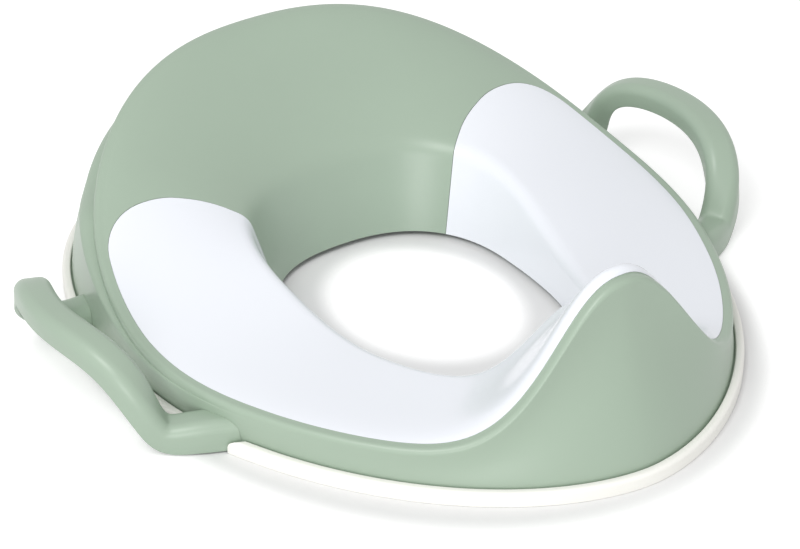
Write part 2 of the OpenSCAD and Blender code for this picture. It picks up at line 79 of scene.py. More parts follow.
def folded(phi):  # any polar angle as 0 to 180 from the front
    a = np.abs(phi) % 360
    return np.where(a > 180, 360 - a, a)


def guardShare(u):  # bell curve about the front
    return np.exp(-(u / guardForm["spread"]) ** guardForm["full"])


def backShare(u):  # bell curve about the rear
    return np.exp(-((180 - u) / backForm["spread"]) ** backForm["full"])


def baseRadius(u):
    half = baseForm["length"] / 2
    return ovalRadius(u, baseForm["width"] / 2, half, half, baseForm["fullFront"], baseForm["fullRear"])


def crestRadius(u):  # an oval less the lean of the splash guard
    oval = ovalRadius(u, seatForm["width"] / 2, seatForm["front"], seatForm["rear"],
                      seatForm["fullFront"], seatForm["fullRear"])
    return oval - guardForm["lean"] * guardShare(u)


def crestHeight(u):  # level at the sides, with both bell curves on top
    return seatForm["sideHigh"] + backForm["rise"] * backShare(u) + guardForm["rise"] * guardShare(u)


def openingRadius(u):
    o = openingForm
    return ovalRadius(u, o["width"] / 2, o["front"], o["rear"], o["full"], o["full"])


def kneeHeight(u):  # rises softly to the rear, and as a bell curve under the splash guard
    o = openingForm
    rear = o["kneeRise"] * softStep((u - o["kneeFrom"]) / (o["kneeTo"] - o["kneeFrom"]))
    return o["kneeHigh"] + rear + o["frontRise"] * np.exp(-(u / o["frontSpread"]) ** o["frontFull"])


def kneeRadius(u):  # outside the opening by its flare, and further where the knee is higher
    o = openingForm
    return openingRadius(u) + o["flare"] + o["kneeSpread"] * (kneeHeight(u) - o["kneeHigh"])


def insertShare(u):  # 1 over the insert, fading to 0 behind it
    return softStep((insertForm["fadeAt"] - u) / insertForm["fadeOver"])


def seatThickness(u):  # the shell's wall with its recess for the insert
    return baseForm["wallThick"] + (insertForm["thick"] + insertForm["gap"]) * insertShare(u)


def pair(r, z):  # section points
    return np.stack(np.broadcast_arrays(r, z), -1).astype(float)


def unit(v):
    return v / np.linalg.norm(v, axis=-1, keepdims=True)


# Bezier curve: control points weighted by the Bernstein polynomials of t
def bezier(points, t):
    n = len(points) - 1
    weights = [math.comb(n, i) * (1 - t) ** (n - i) * t ** i for i in range(n + 1)]
    return sum(w[:, None] * p[..., None, :] for w, p in zip(weights, points))


def arc(middle, radiusR, radiusZ, degrees):  # ellipse arc about a point of the section
    a = np.radians(degrees)
    reach = pair(np.multiply.outer(radiusR, np.cos(a)), np.multiply.outer(radiusZ, np.sin(a)))
    return middle[..., None, :] + reach


# Bends of the wall's cubic, as shares of its run out and up: at the sides, and what the back's bell curve adds.
# The flange takes the first four rows, and the crease ends the shoulder's arc.
wallForm = dict(least=1, low=((0.25, -0.23), (0.35, 0.05)), high=((0, 0.45), (0.5, -0.25)),
                filletRows=7, wallRows=23, shoulderRows=10, lipRows=12, edgeRow=2, creaseRow=41)


# Outer wall: flange, fillet, a cubic wall, an elliptic shoulder, the crease, the lip's face and its quarter round.
# The shoulder and the crease fade to nothing at the sides by the back's bell curve, and dip behind by a soft step.
def wallLine(u):
    b, lip, w = baseForm, lipForm, wallForm
    one = np.ones_like(u, dtype=float)
    share = backShare(u)
    edge, e = baseRadius(u) - b["flangeEdge"], b["flangeRound"]
    flange = [pair(edge - e, b["flangeZ"]), pair(edge, b["flangeZ"] + e),
              pair(edge, b["flangeTop"] - e), pair(edge - e, b["flangeTop"])]
    foot = pair(baseRadius(u) - b["wallStep"], b["flangeTop"] + b["footFillet"])
    face = crestRadius(u) + lip["width"]
    roundLow = crestHeight(u) - lip["radius"]
    crease = roundLow - lip["least"] - (lip["depth"] - lip["radius"] - lip["least"]) * share
    crease = crease - lip["dip"] * softStep((u - lip["dipFrom"]) / lip["dipOver"])
    shoulder = face + lip["shoulderWide"] * share
    shoulderLow = crease - lip["least"] - (lip["shoulderHigh"] - lip["least"]) * share
    top = pair(shoulder, np.maximum(shoulderLow, foot[..., 1] + w["least"]))
    low, high = [(top - foot) * pair(*[side + back * share for side, back in bend]) for bend in (w["low"], w["high"])]
    turn = lip["creaseIn"] * share
    turned = [pair(face - inward * turn, crease + up * (roundLow - crease)) for inward, up in lip["creaseTurn"]]
    crest = [pair(crestRadius(u) + out, crestHeight(u)) for out in (lip["flatAt"], 0)]
    fillet, lipRound = one * b["footFillet"], one * lip["radius"]
    return np.concatenate([
        np.stack(flange, -2),
        arc(foot + [b["footFillet"], 0], fillet, fillet, np.linspace(270, 180, w["filletRows"])),
        bezier([foot, foot + low, top - high, top], np.linspace(0, 1, w["wallRows"])[1:]),
        arc(pair(face - turn, top[..., 1]), shoulder - face + turn, crease - top[..., 1],
            np.linspace(0, 90, w["shoulderRows"])[1:]),
        np.stack(turned, -2),
        arc(pair(face - lip["radius"], roundLow), lipRound, lipRound, np.linspace(0, 90, w["lipRows"])),
        np.stack(crest, -2),
    ], -2)


# Line inside the wall: the wall's own points drawn in by a thickness, first below the crease, then the given rows
def insideWall(u, thick, rows):
    line = wallLine(u)
    return np.concatenate([line[..., [wallForm["creaseRow"]], :] - thick, line[..., list(rows), :] - [thick, 0]], -2)


def innerApex(u):  # top of the hollow under the lip
    return pair(crestRadius(u) + lipForm["width"] - baseForm["wallThick"],
                crestHeight(u) - seatThickness(u) - lipForm["apexDrop"])


# Seat: a fifth-degree curve from the crest, crowned at the sides and rolled over the lip of the splash guard,
# a quadratic round at the knee, and a straight drafted wall down to the opening's lower edge.
# The crown's points are shares of the run from the knee and of the swell that the back's bell curve gives.
def seatLine(u):
    s, g, o = seatForm, guardForm, openingForm
    crest = pair(crestRadius(u), crestHeight(u))
    knee = pair(kneeRadius(u), kneeHeight(u))
    skirt = pair(openingRadius(u), o["skirtZ"])
    run = crest - knee
    lift = pair(0, s["swell"] * np.sqrt(backShare(u)))
    hollow = g["hollow"] * np.sqrt(guardShare(u))[..., None]
    crowned = [crest + pair(-s["crownWide"], s["crown"] * insertShare(u))]
    crowned += [knee + run * along + lift * swell for along, swell in s["crownPoints"]]
    hollowed = [crest + [-g["rollIn"], g["roll"]], crest - [g["rollIn"], 0] - run * g["upper"],
                knee + run * g["lower"] - [0, g["dish"]], knee + g["foot"]]
    middle = [a * (1 - hollow) + b * hollow for a, b in zip(crowned, hollowed)]
    seatEnd = knee + o["kneeRound"] * unit(middle[-1] - knee)
    wallTop = knee + o["kneeRound"] * unit(skirt - knee)
    return np.concatenate([
        bezier([crest, *middle, seatEnd], np.linspace(0, 1, s["seatRows"])),
        bezier([seatEnd, knee, wallTop], np.linspace(0, 1, s["kneeRows"])[1:]),
        bezier([wallTop, skirt], np.linspace(0, 1, s["skirtRows"])[1:]),
    ], -2)


def stepEnds(line, i):  # both corners of a polyline's step
    return [np.take_along_axis(line, (i + k)[..., None], -2)[..., 0, :] for k in (0, 1)]


# Point of a polyline at a distance along it, by linear interpolation between its two nearest corners
def alongLine(line, distance):
    steps = np.linalg.norm(np.diff(line, axis=-2), axis=-1)
    total = np.concatenate([np.zeros(steps.shape[:-1] + (1,)), np.cumsum(steps, -1)], -1)
    distance = np.minimum(distance, total[..., -1])
    i = np.clip((total <= distance[..., None]).sum(-1) - 1, 0, line.shape[-2] - 2)[..., None]
    low, high = np.take_along_axis(total, i, -1), np.take_along_axis(total, i + 1, -1)
    f = (distance[..., None] - low) / (high - low)
    a, b = stepEnds(line, i)
    return a * (1 - f) + b * f


leastStep = 1e-6  # keeps a division off zero


# Radius of the outer wall at a height, by linear interpolation between the section's points above the flange's edge
def wallRadius(u, z):
    line = wallLine(u)[..., wallForm["edgeRow"]:, :]
    i = np.clip((line[..., 1] <= z[..., None]).sum(-1) - 1, 0, line.shape[-2] - 2)[..., None]
    a, b = stepEnds(line, i)
    f = np.clip((z - a[..., 1]) / np.maximum(b[..., 1] - a[..., 1], leastStep), 0, 1)
    return a[..., 0] * (1 - f) + b[..., 0] * f


def aroundAxis(phi, section):  # section point turned to its polar angle, the front towards -Y
    a = np.radians(phi)
    return np.stack([section[..., 0] * np.sin(a), -section[..., 0] * np.cos(a), section[..., 1]], -1)


def edgeTurn(length, depth):  # angle of a length about the middle, at a distance from the insert's outer edge
    return np.degrees(length / np.maximum(insertForm["outerRadius"] - depth, insertForm["innerRadius"]))


# Angle of the insert's rear edge at a distance from its outer edge: it turns a little to the rear on the way in,
# and is pulled forward near the lip by a quarter round
def insertEdgeAngle(depth, gap):
    f = insertForm
    inside = 1 - np.clip(depth / f["cornerRadius"], 0, 1)
    pull = f["cornerRadius"] * (1 - np.sqrt(1 - inside ** 2)) + gap
    return f["angle"] + f["turn"] * softStep((depth - f["turnFrom"]) / f["turnOver"]) - edgeTurn(pull, depth)


# Distances of the grid's rows from the outer edge: along the corner's quarter round, then evenly as shares
cornerTurn = np.radians(np.linspace(0, 90, insertForm["cornerRows"]))
cornerDepths = insertForm["cornerRadius"] * (1 - np.cos(cornerTurn))
rowShares = np.linspace(0, 1, insertForm["rows"])[1:]


# Seat surface on a grid: rows run from the lip to the lower edge, columns along the given angles per row
def seatGrid(phi, start):
    u = folded(phi)
    line = seatLine(u)
    length = np.linalg.norm(np.diff(line, axis=-2), axis=-1).sum(-1)
    first = np.broadcast_to((start + cornerDepths)[:, None], (len(cornerDepths), phi.shape[1]))
    rest = first[-1:] + (length[len(cornerDepths):] - first[-1:]) * rowShares[:, None]
    return aroundAxis(phi, alongLine(line, np.concatenate([first, rest])))


def rowDepths():  # the same rows as plain distances, for the rear edge's angle
    rest = cornerDepths[-1] + (insertForm["length"] - cornerDepths[-1]) * rowShares
    return np.concatenate([cornerDepths, rest])


def gridNormals(points, wrap):  # unit cross product of the steps across and along a grid
    across = np.roll(points, -1, 1) - np.roll(points, 1, 1) if wrap else np.gradient(points, axis=1)
    return unit(np.cross(across, np.gradient(points, axis=0)))


# Faces of a grid of rows and columns, each row's corners in order, closed on either side if asked
def gridFaces(rows, columns, wrapRows, wrapColumns):
    i = np.arange(rows if wrapRows else rows - 1)[:, None]
    j = np.arange(columns if wrapColumns else columns - 1)[None, :]
    i2, j2 = (i + 1) % rows, (j + 1) % columns
    ids = [i * columns + j, i * columns + j2, i2 * columns + j2, i2 * columns + j]
    return np.stack(np.broadcast_arrays(*ids), -1).reshape(-1, 4)


def revolved(profile, middle, count=48):  # closed [radius, height] loop turned about a vertical axis
    a = np.linspace(0, 2 * np.pi, count, endpoint=False)
    ring = np.stack([np.outer(profile[:, 0], np.cos(a)), np.outer(profile[:, 0], np.sin(a)),
                     np.repeat(profile[:, 1, None], count, 1)], -1)
    return ring + middle, gridFaces(len(profile), count, True, True)


mergeWithin = 1e-6  # metres


def makePiece(name, parts, material, nodes, sharp=35):  # edges sharper than that angle stay hard
    verts = np.concatenate([p.reshape(-1, 3) for p, f in parts]) * mm
    starts = np.cumsum([0] + [p.reshape(-1, 3).shape[0] for p, f in parts])
    faces = np.concatenate([f + s for (p, f), s in zip(parts, starts)])
    mesh = bpy.data.meshes.new(name)
    mesh.from_pydata(verts.tolist(), [], faces.tolist())
    work = bmesh.new()
    work.from_mesh(mesh)
    bmesh.ops.remove_doubles(work, verts=work.verts, dist=mergeWithin)  # rows that meet become one
    work.to_mesh(mesh)
    work.free()
    mesh.polygons.foreach_set("use_smooth", np.ones(len(mesh.polygons), bool))
    mesh.set_sharp_from_angle(angle=math.radians(sharp))
    mesh.materials.append(material)
    piece = bpy.data.objects.new(name, mesh)
    bpy.context.scene.collection.objects.link(piece)
    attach(piece, "root")
    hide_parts(*nodes)
    print(name, len(mesh.vertices), "points", len(mesh.polygons), "faces")
    return piece


def linear(hexColour):  # sRGB hex to linear RGB
    c = np.array([int(hexColour[i:i + 2], 16) for i in (1, 3, 5)]) / 255
    return tuple(np.where(c <= 0.04045, c / 12.92, ((c + 0.055) / 1.055) ** 2.4)) + (1.0,)


def addNode(tree, kind, settings={}, values={}, links={}):
    node = tree.nodes.new(kind)
    for key, value in settings.items():
        setattr(node, key, value)
    for key, value in values.items():
        node.inputs[key].default_value = value
    for key, source in links.items():
        tree.links.new(source, node.inputs[key])
    return node


def newMaterial(name):
    material = bpy.data.materials.new(name)
    material.use_nodes = True
    material.node_tree.nodes.clear()
    return material, material.node_tree


# Moulded plastic: two close colours in slow flow clouds, a roughness led by one of its noises, and a fine relief.
# Each noise is given by its size and its detail.
def mouldedPlastic(f):
    material, tree = newMaterial(f["name"])
    place = addNode(tree, "ShaderNodeTexCoord").outputs["Object"]
    noises = {}
    for key in ("flow", "relief"):
        size, detail = f[key]
        noise = addNode(tree, "ShaderNodeTexNoise", values={"Scale": perMetre / size, "Detail": detail},
                        links={"Vector": place})
        noises[key] = noise.outputs["Fac"]
    colour = addNode(tree, "ShaderNodeMix", {"data_type": "RGBA"},
                     {"A": linear(f["colour"]), "B": linear(f["shade"])}, {"Factor": noises["flow"]})
    rough = addNode(tree, "ShaderNodeMapRange", values={"To Min": f["rough"][0], "To Max": f["rough"][1]},
                    links={"Value": noises[f["roughBy"]]})
    bump = addNode(tree, "ShaderNodeBump", values={"Strength": 1.0, "Distance": f["depth"] * mm},
                   links={"Height": noises["relief"]})
    shader = addNode(tree, "ShaderNodeBsdfPrincipled", values={"IOR": f["ior"]},
                     links={"Base Color": colour.outputs["Result"], "Roughness": rough.outputs["Result"],
                            "Normal": bump.outputs["Normal"]})
    addNode(tree, "ShaderNodeOutputMaterial", links={"Surface": shader.outputs["BSDF"]})
    return material


# Moulded polypropylene from a fine spark-eroded tool: a satin sheen, faint flow clouds in the pigment.
# The real grain is about 0.2 mm and too fine to show, so it is drawn at 0.9 mm.
sageFinish = dict(name="moulded polypropylene, satin sage", colour="#A0B2A0", shade="#9DAE9D", ior=1.49,
                  flow=(45, 2.0), relief=(0.9, 1.0), depth=0.012, roughBy="relief", rough=(0.32, 0.39))
sage = mouldedPlastic(sageFinish)

# Polished polypropylene: a clear gloss with the slow ripple that a thick moulding takes as it cools
whiteFinish = dict(name="moulded polypropylene, glossy white", colour="#EBEEF4", shade="#E9ECF2", ior=1.49,
                   flow=(60, 2.0), relief=(18, 1.0), depth=0.02, roughBy="flow", rough=(0.16, 0.22))
white = mouldedPlastic(whiteFinish)

# Thermoplastic elastomer: soft, matt and slightly grippy, with a fine skin grain drawn coarser than it is
softFinish = dict(name="thermoplastic elastomer, matt white", colour="#F5F4EF", shade="#F0EFE9", ior=1.5,
                  flow=(30, 3.0), relief=(0.7, 2.0), depth=0.015, roughBy="relief", rough=(0.52, 0.6))
softWhite = mouldedPlastic(softFinish)

# Zinc-plated steel: bright but not polished, the plating a little uneven
screwFinish = dict(name="zinc-plated steel", colour="#B9BBBD", grainSize=0.4, grainDetail=2.0, rough=(0.28, 0.4))


def platedSteel(f):
    material, tree = newMaterial(f["name"])
    place = addNode(tree, "ShaderNodeTexCoord").outputs["Object"]
    grain = addNode(tree, "ShaderNodeTexNoise",
                    values={"Scale": perMetre / f["grainSize"], "Detail": f["grainDetail"]}, links={"Vector": place})
    rough = addNode(tree, "ShaderNodeMapRange", values={"To Min": f["rough"][0], "To Max": f["rough"][1]},
                    links={"Value": grain.outputs["Fac"]})
    shader = addNode(tree, "ShaderNodeBsdfPrincipled", values={"Base Color": linear(f["colour"]), "Metallic": 1.0},
                     links={"Roughness": rough.outputs["Result"]})
    addNode(tree, "ShaderNodeOutputMaterial", links={"Surface": shader.outputs["BSDF"]})
    return material


steel = platedSteel(screwFinish)
print("materials done")

footForm = dict(screwOut=2.5, wallIn=12)  # from the base's side to a foot's screw, and to its end at the wall
screwX = baseForm["width"] / 2 + footForm["screwOut"]
wallEnd = baseForm["width"] / 2 - footForm["wallIn"]

# Shell: one closed loop of rows, up the wall, over the lip, down the seat and back along the underside.
# Columns run over the insert's recess first, then round the back, so the recess has a crisp rear edge.
shellGrid = dict(recessColumns=300, backColumns=150, edgeGap=0.12, underStep=3, innerRows=(33, 28, 22, 16, 11))


def shellPoints():
    g, f = shellGrid, insertForm
    depths = rowDepths()
    edge = insertEdgeAngle(depths, 0)[:, None]
    slip = edgeTurn(g["edgeGap"], depths)[:, None]
    recess = edge * np.linspace(-1, 1, g["recessColumns"])
    back = edge + slip + (360 - 2 * edge - 2 * slip) * np.linspace(0, 1, g["backColumns"])
    phi = np.concatenate([recess, back], 1)
    seat = seatGrid(phi, f["inset"])
    normals = gridNormals(seat, True)
    u = folded(phi)
    under = seat - normals * seatThickness(u)[..., None]
    under[..., 2] = np.maximum(under[..., 2], openingForm["skirtZ"])
    lowered = seat.copy()
    inRecess = np.arange(phi.shape[1]) < g["recessColumns"]
    lowered[:, inRecess] -= normals[:, inRecess] * (f["thick"] + f["gap"])
    lowered[..., 2] = np.maximum(lowered[..., 2], openingForm["skirtZ"])
    first = u[0]
    wall = np.moveaxis(aroundAxis(phi[0][:, None], wallLine(first)), 1, 0)
    inner = insideWall(first, baseForm["wallThick"], g["innerRows"])
    foot = pair(baseRadius(first) - baseForm["wallStep"] - baseForm["wallThick"], baseForm["flangeZ"])[:, None]
    line = np.concatenate([innerApex(first)[:, None], inner, foot], 1)
    inside = np.moveaxis(aroundAxis(phi[0][:, None], line), 1, 0)
    return np.concatenate([wall, seat[:1], lowered, under[::-g["underStep"]], inside])


# Ribs under the seat: at one angle, the section of the underside filled down to a level edge and given a thickness
ribForm = dict(angles=(42, 95, 140, 164), thick=1.8, low=7.8, sink=0.3, cutBelow=2, least=0.05,
               rowStep=3, wallRows=(33, 30, 27, 24, 21, 18, 15, 12))


def ribParts(angle, side):
    f, b = ribForm, baseForm
    u = np.array(float(angle))
    kneeEnd = seatForm["seatRows"] + seatForm["kneeRows"] - 1
    seat = seatLine(u)[1:kneeEnd:f["rowStep"]]
    run = unit(np.gradient(seat, axis=0))
    under = seat - (seatThickness(u) - f["sink"]) * np.stack([run[:, 1], -run[:, 0]], -1)
    apex = innerApex(u) + [0, f["sink"]]
    wall = insideWall(u, b["wallThick"] - f["sink"], f["wallRows"])
    top = np.concatenate([under[::-1], [apex], wall])
    top = np.maximum(top[top[:, 1] > f["low"] - f["cutBelow"]], [0, f["low"] + f["least"]])
    low = pair(top[:, 0], f["low"])
    aside = f["thick"] / 2 * np.array([math.cos(math.radians(angle)), math.sin(math.radians(angle)), 0])
    lines = [aroundAxis(angle, line) + sign * aside for line, sign in ((top, 1), (top, -1), (low, -1), (low, 1))]
    n = len(top)
    ends = np.array([[0, n, 2 * n, 3 * n], [4 * n - 1, 3 * n - 1, 2 * n - 1, n - 1]])
    faces = np.concatenate([gridFaces(4, n, True, False), ends])
    return np.stack(lines) * [side, 1, 1], faces[:, ::-1] if side > 0 else faces


# Lugs of the flange inside the handles' feet: the hull of two circles about a screw hole,
# each point of its edge on the circle that lies further that way
lugForm = dict(width=8.2, hole=3.3, points=64, feet=((68.5, 68.5), (-43, -49.5)))


def lugParts(side, screwY, wallY):
    f, b = lugForm, baseForm
    a = np.linspace(0, 2 * np.pi, f["points"], endpoint=False)
    way = np.stack([np.cos(a), np.sin(a)], -1)
    screwAt, wallAt = np.array([screwX, screwY]), np.array([wallEnd, wallY])
    edge = np.where((way @ (wallAt - screwAt) > 0)[:, None], wallAt, screwAt) + way * f["width"] / 2
    hole = screwAt + way * f["hole"] / 2
    low, top = b["flangeZ"], b["flangeTop"]
    rings = [np.concatenate([line, np.full((f["points"], 1), z)], 1)
             for line, z in ((hole, low), (edge, low), (edge, top), (hole, top))]
    faces = gridFaces(4, f["points"], True, True)
    return np.stack(rings) * [side, 1, 1], faces if side > 0 else faces[:, ::-1]


points = shellPoints()
shellParts = [(points, gridFaces(*points.shape[:2], True, True))]
shellParts += [ribParts(angle, side) for angle in ribForm["angles"] for side in (1, -1)]
shellParts += [lugParts(side, *y) for y in lugForm["feet"] for side in (1, -1)]
makePiece("seatShell", shellParts, sage, ["seat_shell"])


# Insert: the same seat surface drawn in by the gap, given its thickness along the normals and closed at its edges
def insertPoints():
    f = insertForm
    phi = insertEdgeAngle(rowDepths(), f["slit"])[:, None] * np.linspace(-1, 1, f["columns"])
    top = seatGrid(phi, f["inset"] + f["slit"])
    bottom = top - gridNormals(top, False) * f["thick"]
    bottom[..., 2] = np.maximum(bottom[..., 2], openingForm["skirtZ"])
    return np.concatenate([top, bottom[::-1]])


def insertFaces(rows, columns):  # a band of rows round the insert's section, and its two rear edges
    k = np.arange(rows // 2 - 1)
    edge = np.stack([k, k + 1, rows - 2 - k, rows - 1 - k], -1) * columns
    return np.concatenate([gridFaces(rows, columns, True, False), edge, edge[:, ::-1] + columns - 1])


# Staked heads of the insert's pegs: a shank and a chamfered head turned about the vertical, clear of the sloping shell.
# The head's outline is in shares of its radius and its height.
pegForm = dict(angles=(29, 54.2, 80.6, 103.3), shank=5, head=8.5, high=1.8, axis=0.02, below=0.05,
               outline=((0.5, 1), (0.9, 0.72), (1, 0.4), (0.97, 0)), row=45, rowsAside=5, turnAside=1)


def pegParts(angle, side):
    f = pegForm
    u = np.array(float(angle))
    line, near = seatLine(u), [seatLine(u + d)[f["row"]] for d in (-f["turnAside"], f["turnAside"])]
    at = line[f["row"]]
    run = line[f["row"] + f["rowsAside"]] - line[f["row"] - f["rowsAside"]]
    aside = 2 * at[0] * math.sin(math.radians(f["turnAside"]))
    slope = math.hypot(run[1] / run[0], (near[1][1] - near[0][1]) / aside)
    through = float(seatThickness(u)) * math.hypot(1, slope)
    deep = through + f["head"] / 2 * slope + insertForm["gap"]
    shank, top = f["shank"] / 2, -through - f["below"]
    head = [[f["head"] / 2 * out, -deep - f["high"] * down] for out, down in f["outline"]]
    profile = [[f["axis"], -deep - f["high"]], *head, [shank, -deep], [shank, top], [f["axis"], top]]
    return revolved(np.array(profile), aroundAxis(side * angle, at))


points = insertPoints()
insertParts = [(points, insertFaces(*points.shape[:2]))]
insertParts += [pegParts(angle, side) for angle in pegForm["angles"] for side in (1, -1)]
seatInsert = makePiece("seatInsert", insertParts, white, ["seat_insert"], sharp=insertForm["sharp"])
bevel = seatInsert.modifiers.new("edgeRound", "BEVEL")
bevel.width = insertForm["edgeRound"] * mm
bevel.segments = insertForm["roundSteps"]
bevel.limit_method = "ANGLE"
bevel.angle_limit = math.radians(insertForm["sharp"])
bevel.harden_normals = True

# Handles: a channel, open below, carried along a uniform cubic spline from foot to foot.
# A bend is a share of the reach, a distance from its foot and a share of the rise.
handleForm = dict(reach=30, rise=44, rear=68.5, front=43, slant=6.5, width=17, high=12, footHigh=15, edge=5.5,
                  wall=2.6, floor=0.7, gap=0.4, seam=0.12, footSink=12, lowRound=0.8, innerRound=0.8,
                  rearOut=0.16, rearBends=((0.57, 2, 0.5), (0.72, 12, 1.03), (1.15, 45, 1.02)),
                  frontOut=1, frontBends=((0.88, 27, 1.05), (0.62, 9, 0.66), (0.4, 7.5, 0.12)),
                  highFrom=1, highOver=3, stepOver=0.8, lowSteps=5, edgeSteps=10,
                  steps=220, crowd=0.1, ease=4, scan=1401, probe=0.02, sharp=45)
footSlope = handleForm["slant"] / (screwX - wallEnd)


def handlePath():
    h, x = handleForm, baseForm["width"] / 2
    footZ = h["floor"] + h["footHigh"] / 2
    path = [[wallEnd - h["footSink"], h["rear"], footZ], [wallEnd, h["rear"], footZ],
            [x + h["reach"] * h["rearOut"], h["rear"], footZ]]
    path += [[x + h["reach"] * out, h["rear"] - y, h["rise"] * up] for out, y, up in h["rearBends"]]
    path += [[x + h["reach"] * out, y - h["front"], h["rise"] * up] for out, y, up in h["frontBends"]]
    path += [[x + h["frontOut"], -h["front"] - h["frontOut"], footZ], [wallEnd, -h["front"] - h["slant"], footZ],
             [wallEnd - h["footSink"], -h["front"] - h["slant"] - h["footSink"] * footSlope, footZ]]
    return np.array(path)


# Uniform cubic B-spline with its ends held by mirrored points
def splinePoint(path, t):
    held = np.concatenate([[2 * path[0] - path[1]], path, [2 * path[-1] - path[-2]]])
    i = np.clip(np.floor(t).astype(int), 0, len(path) - 2)
    f = (t - i)[..., None]
    return ((1 - f) ** 3 * held[i] + (3 * f ** 3 - 6 * f ** 2 + 4) * held[i + 1]
            + (-3 * f ** 3 + 3 * f ** 2 + 3 * f + 1) * held[i + 2] + f ** 3 * held[i + 3]) / 6


# Outline of the channel as [across, top or bottom, offset]: the outer edge with rounded top corners,
# then the inner edge back
def channelOutline():
    h = handleForm
    halfWide, r, t, e = h["width"] / 2, h["edge"], h["wall"], h["lowRound"]
    q = max(r - t, h["innerRound"])
    few, many = h["lowSteps"], h["edgeSteps"]

    def corner(x, level, up, radius, start, end, count):
        a = np.radians(np.linspace(start, end, count))
        return np.stack([x + radius * np.cos(a), np.full(count, level), up + radius * np.sin(a)], -1)

    outer = [corner(e - halfWide, -1, e, e, 270, 180, few), corner(r - halfWide, 1, -r, r, 180, 90, many),
             corner(halfWide - r, 1, -r, r, 90, 0, many), corner(halfWide - e, -1, e, e, 0, -90, few)]
    inner = [corner(halfWide - t + e, -1, e, e, 270, 180, few), corner(halfWide - t - q, 1, -t - q, q, 0, 90, many),
             corner(q + t - halfWide, 1, -t - q, q, 90, 180, many), corner(t - e - halfWide, -1, e, e, 0, -90, few)]
    return np.concatenate(outer + inner)


# Outline carried along the path, across and up from it, its height blended from the feet to the grip by a soft step.
# There is one t for each step and outline point.
def channelPoints(t, outline):
    h = handleForm
    path = handlePath()
    last = len(path) - 1
    middle = splinePoint(path, t)
    ahead, behind = np.minimum(t + h["probe"], last), np.maximum(t - h["probe"], 0)
    along = unit(splinePoint(path, ahead) - splinePoint(path, behind))
    across = unit(np.cross([0, 0, 1], along))
    up = np.cross(along, across)
    fromEnd = np.minimum(t, last - t)
    high = h["footHigh"] + (h["high"] - h["footHigh"]) * softStep((fromEnd - h["highFrom"]) / h["highOver"])
    return middle + outline[:, 0, None] * across + (outline[:, 1] * high / 2 + outline[:, 2])[..., None] * up


bellReach = 4  # spreads of a bell curve after which it is left out


# Lines of a sweep eased by a bell-shaped mean over their neighbours, mirrored through both ends so that these stay put
def eased(points, spread):
    n, reach = len(points), bellReach * spread
    held = np.concatenate([2 * points[:1] - points[reach:0:-1], points, 2 * points[-1:] - points[-2:-reach - 2:-1]])
    weights = np.exp(-((np.arange(n)[:, None] + reach - np.arange(n + 2 * reach)) / spread) ** 2 / 2)
    weights /= weights.sum(1, keepdims=True)
    return np.tensordot(weights, held, 1)


def crowded(count, amount):  # shares from 0 to 1, drawn towards both ends by a sine
    share = np.linspace(0, 1, count)
    return (share - amount * np.sin(2 * np.pi * share))[:, None]


def polar(points):  # angle from the front and distance from the axis
    return np.degrees(np.arctan2(points[..., 0], -points[..., 1])), np.hypot(points[..., 0], points[..., 1])


# Each line of the outline starts and ends where it meets the wall with its gap, found on a fine scan of the path.
# Its lower edge steps up over the flange by a soft step.
def handlePoints():
    h, b = handleForm, baseForm
    outline = channelOutline()
    overFlange = b["flangeTop"] + h["gap"]
    scan = np.linspace(0, len(handlePath()) - 1, h["scan"])
    p = channelPoints(np.repeat(scan[:, None], len(outline), 1), outline)
    u, r = polar(p)
    clear = r - h["seam"] - wallRadius(u, np.maximum(p[..., 2], overFlange))
    middle = len(scan) // 2
    begin = scan[middle - np.argmax(clear[middle::-1] < 0, 0)]
    end = scan[middle + np.argmax(clear[middle:] < 0, 0)]
    points = eased(channelPoints(begin + (end - begin) * crowded(h["steps"], h["crowd"]), outline), h["ease"])
    u, r = polar(points)
    out = r - baseRadius(u) + b["flangeEdge"] - h["gap"]
    low = h["floor"] + (overFlange - h["floor"]) * softStep(0.5 - out / h["stepOver"])
    points[..., 2] = np.maximum(points[..., 2], low)
    return points


def channelFaces(rows, columns):  # walls of a swept channel and its two end caps
    k = np.arange(columns // 2 - 1)
    cap = np.stack([k, columns - 1 - k, columns - 2 - k, k + 1], -1)
    return np.concatenate([gridFaces(rows, columns, False, True)[:, ::-1], cap[:, ::-1], cap + (rows - 1) * columns])


bossForm = dict(width=7.2, pilot=3.3, pilotDeep=7, chamfer=0.4, draft=0.3, sink=0.4)  # takes a screw inside a foot


def handleParts():
    h, f = handleForm, bossForm
    points = handlePoints()
    low, top = baseForm["flangeTop"] + h["gap"], h["floor"] + h["footHigh"] - h["wall"] + f["sink"]
    pilot, out = f["pilot"] / 2, f["width"] / 2
    boss = np.array([[pilot, low], [out - f["chamfer"], low], [out, low + f["chamfer"]], [out - f["draft"], top],
                     [pilot, low + f["pilotDeep"]]])
    bosses = [revolved(boss, [screwX, y, 0]) for y in (h["rear"], -h["front"])]
    return [(points, channelFaces(*points.shape[:2]))] + bosses


rightParts = handleParts()
leftParts = [(p * [-1, 1, 1], f[:, ::-1]) for p, f in rightParts]
makePiece("rightHandle", rightParts, sage, ["right_handle"], sharp=handleForm["sharp"])
makePiece("leftHandle", leftParts, sage, ["left_handle"], sharp=handleForm["sharp"])

